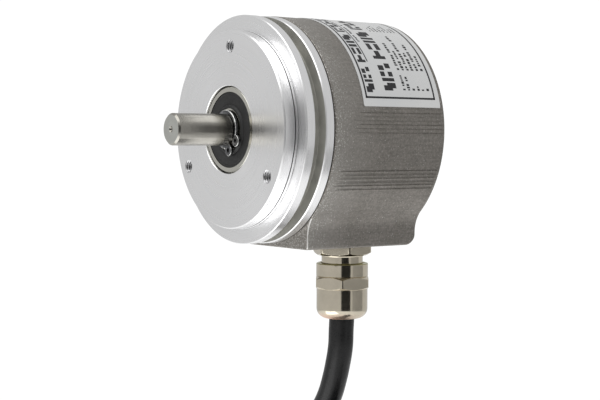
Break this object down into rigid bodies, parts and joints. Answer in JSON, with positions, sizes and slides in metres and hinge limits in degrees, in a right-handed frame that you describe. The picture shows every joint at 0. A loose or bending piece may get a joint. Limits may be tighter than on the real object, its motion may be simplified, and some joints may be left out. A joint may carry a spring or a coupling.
{
  "type": "rotary encoder",
  "caption": "Rotary shaft encoder with a round servo flange, plain shaft in ball bearings, cast housing with a flat foot, and a hanging cable in a gland.",
  "frame": {"origin": "centre of the flange's front (pilot) face, on the shaft's axis", "axes": "-Y along the shaft, out of the flange; +Y into the housing; -Z the way the cable leaves"},
  "size_m": [0.0874, 0.0639, 0.243],
  "materials": {
    "turned_aluminium": "finely turned, bright",
    "cast_housing": "die-cast, blasted, matt grey",
    "ground_steel": "ground stainless steel",
    "bearing_steel": "ground bearing steel",
    "spring_steel": "blackened spring steel",
    "seal_rubber": "moulded black nitrile rubber",
    "nickel_brass": "nickel-plated, bright turned",
    "label_film": "printed silver-grey film",
    "cable_jacket": "black cable jacket, slight sheen",
    "board_laminate": "green solder mask",
    "black_plastic": "moulded black nylon",
    "white_plastic": "moulded white nylon",
    "cage_plastic": "moulded brown cage plastic",
    "disc_glass": "clear glass with chrome tracks",
    "zinc_steel": "zinc-plated steel",
    "lead_wires": "insulated leads in several colours"
  },
  "bodies": {
    "stator": {"front_flange": "turned_aluminium", "housing_cap": "cast_housing", "name_label": "label_film", "housing_seal_ring": "seal_rubber", "housing_screw_1": "zinc_steel", "housing_screw_2": "zinc_steel", "housing_screw_3": "zinc_steel", "front_bearing_outer_ring": "bearing_steel", "front_bearing_seal": "seal_rubber", "rear_bearing_outer_ring": "bearing_steel", "preload_spring": "spring_steel", "bore_retaining_ring": "spring_steel", "lower_pillar_1": "zinc_steel", "lower_pillar_2": "zinc_steel", "lower_pillar_3": "zinc_steel", "upper_pillar_1": "zinc_steel", "upper_pillar_2": "zinc_steel", "upper_pillar_3": "zinc_steel", "sensor_board": "board_laminate", "light_source": "black_plastic", "reading_mask": "disc_glass", "photo_sensor": "black_plastic", "lead_connector": "white_plastic", "gland_body": "nickel_brass", "gland_seal_ring": "seal_rubber", "gland_grommet": "seal_rubber", "gland_claw": "black_plastic", "gland_cap_nut": "nickel_brass", "inner_lead": "cable_jacket", "cable": "cable_jacket", "cable_coil": "cable_jacket", "cable_tail": "cable_jacket", "cable_leads": "lead_wires", "cable_tie": "black_plastic"},
    "rotor": {"shaft": "ground_steel", "shaft_retaining_ring": "spring_steel", "front_bearing_inner_ring": "bearing_steel", "rear_bearing_inner_ring": "bearing_steel", "bearing_spacer": "zinc_steel", "disc_hub": "turned_aluminium", "hub_grub_screw": "spring_steel", "code_disc": "disc_glass", "disc_clamp_ring": "turned_aluminium"},
    "front_cage": {"front_ball_cage": "cage_plastic", "front_ball_1": "bearing_steel", "front_ball_2": "bearing_steel", "front_ball_3": "bearing_steel", "front_ball_4": "bearing_steel", "front_ball_5": "bearing_steel", "front_ball_6": "bearing_steel", "front_ball_7": "bearing_steel"},
    "rear_cage": {"rear_ball_cage": "cage_plastic", "rear_ball_1": "bearing_steel", "rear_ball_2": "bearing_steel", "rear_ball_3": "bearing_steel", "rear_ball_4": "bearing_steel", "rear_ball_5": "bearing_steel", "rear_ball_6": "bearing_steel", "rear_ball_7": "bearing_steel"}
  },
  "joints": [
    {"name": "shaft_spin", "type": "hinge", "parent": "stator", "child": "rotor", "pos_m": [0, 0, 0], "axis": [0, -1, 0], "continuous": true},
    {"name": "front_cage_orbit", "type": "hinge", "parent": "stator", "child": "front_cage", "pos_m": [0, 0.0039, 0], "axis": [0, -1, 0], "continuous": true},
    {"name": "rear_cage_orbit", "type": "hinge", "parent": "stator", "child": "rear_cage", "pos_m": [0, 0.0146, 0], "axis": [0, -1, 0], "continuous": true}
  ],
  "couplings": [
    {"joint": "front_cage_orbit", "follows": "shaft_spin", "ratio": 0.3677},
    {"joint": "rear_cage_orbit", "follows": "shaft_spin", "ratio": 0.3677}
  ]
}
